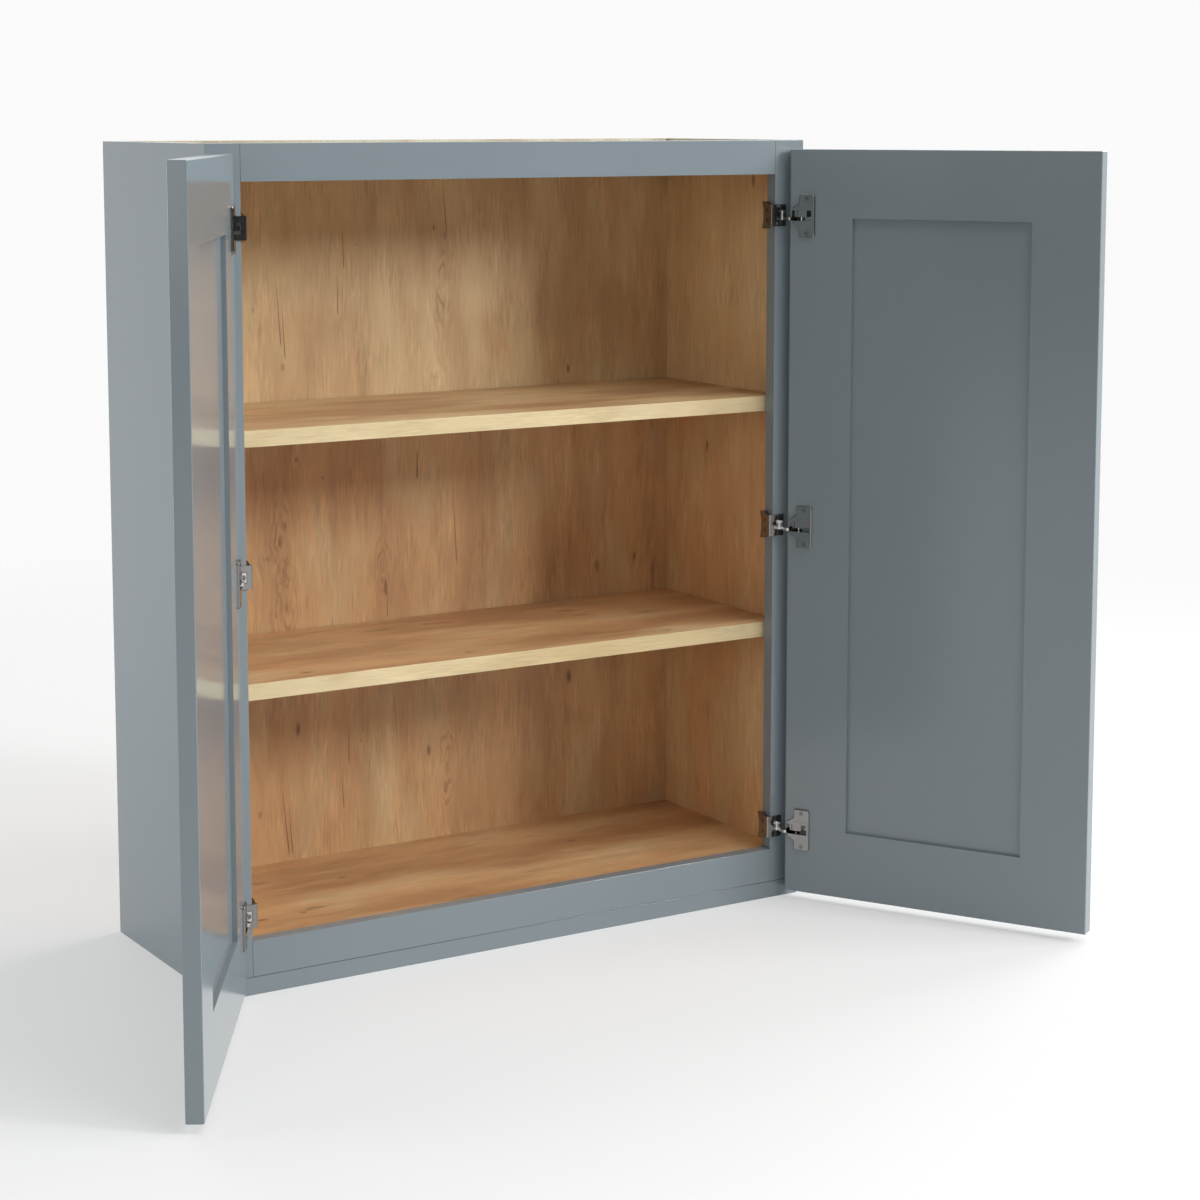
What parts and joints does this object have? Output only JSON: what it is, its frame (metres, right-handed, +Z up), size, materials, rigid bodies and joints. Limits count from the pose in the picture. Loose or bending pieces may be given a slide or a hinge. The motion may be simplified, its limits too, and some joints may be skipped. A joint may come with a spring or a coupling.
{
  "type": "wall cabinet",
  "caption": "Face-frame wall cabinet with painted shaker doors standing open on concealed hinges, loose shelves on pins and a natural wood interior.",
  "frame": {"origin": "middle of the back panel's rear face, on the wall plane", "axes": "+X to the right as seen from the front, +Y into the wall, +Z up"},
  "size_m": [1.1158, 0.6239, 0.9144],
  "materials": {
    "painted_wood": "blue-grey satin paint",
    "interior_wood": "clear satin, natural wood grain",
    "edge_band": "clear satin, pale wood",
    "hinge_metal": "nickel plate",
    "screw_metal": "nickel plate"
  },
  "bodies": {
    "cabinet": {"back_panel": "interior_wood", "base_strip": "painted_wood", "bottom_frame_rail": "painted_wood", "bottom_panel": "interior_wood", "left_bottom_hinge_bracket": "hinge_metal", "left_bottom_hinge_link": "hinge_metal", "left_bracket_screws": "screw_metal", "left_frame_stile": "painted_wood", "left_link_screws": "screw_metal", "left_middle_hinge_bracket": "hinge_metal", "left_middle_hinge_link": "hinge_metal", "left_side_panel": "painted_wood", "left_top_hinge_bracket": "hinge_metal", "left_top_hinge_link": "hinge_metal", "lower_shelf": "interior_wood", "lower_shelf_band": "edge_band", "lower_shelf_pins": "hinge_metal", "right_bottom_hinge_bracket": "hinge_metal", "right_bottom_hinge_link": "hinge_metal", "right_bracket_screws": "screw_metal", "right_frame_stile": "painted_wood", "right_link_screws": "screw_metal", "right_middle_hinge_bracket": "hinge_metal", "right_middle_hinge_link": "hinge_metal", "right_side_panel": "painted_wood", "right_top_hinge_bracket": "hinge_metal", "right_top_hinge_link": "hinge_metal", "top_frame_rail": "painted_wood", "top_panel": "interior_wood", "upper_shelf": "interior_wood", "upper_shelf_band": "edge_band", "upper_shelf_pins": "hinge_metal"},
    "left_door": {"left_bottom_hinge_cup": "hinge_metal", "left_bottom_hinge_pin": "hinge_metal", "left_cup_screws": "screw_metal", "left_door_bottom_rail": "painted_wood", "left_door_hinge_stile": "painted_wood", "left_door_meeting_stile": "painted_wood", "left_door_panel": "painted_wood", "left_door_top_rail": "painted_wood", "left_middle_hinge_cup": "hinge_metal", "left_middle_hinge_pin": "hinge_metal", "left_top_hinge_cup": "hinge_metal", "left_top_hinge_pin": "hinge_metal"},
    "right_door": {"right_bottom_hinge_cup": "hinge_metal", "right_bottom_hinge_pin": "hinge_metal", "right_cup_screws": "screw_metal", "right_door_bottom_rail": "painted_wood", "right_door_hinge_stile": "painted_wood", "right_door_meeting_stile": "painted_wood", "right_door_panel": "painted_wood", "right_door_top_rail": "painted_wood", "right_middle_hinge_cup": "hinge_metal", "right_middle_hinge_pin": "hinge_metal", "right_top_hinge_cup": "hinge_metal", "right_top_hinge_pin": "hinge_metal"}
  },
  "joints": [
    {"name": "left_door_hinge", "type": "hinge", "parent": "cabinet", "child": "left_door", "pos_m": [-0.3683, -0.30145, 0], "axis": [0, 0, 1], "range_deg": [0, 120]},
    {"name": "right_door_hinge", "type": "hinge", "parent": "cabinet", "child": "right_door", "pos_m": [0.3683, -0.30145, 0], "axis": [0, 0, -1], "range_deg": [0, 120]}
  ]
}
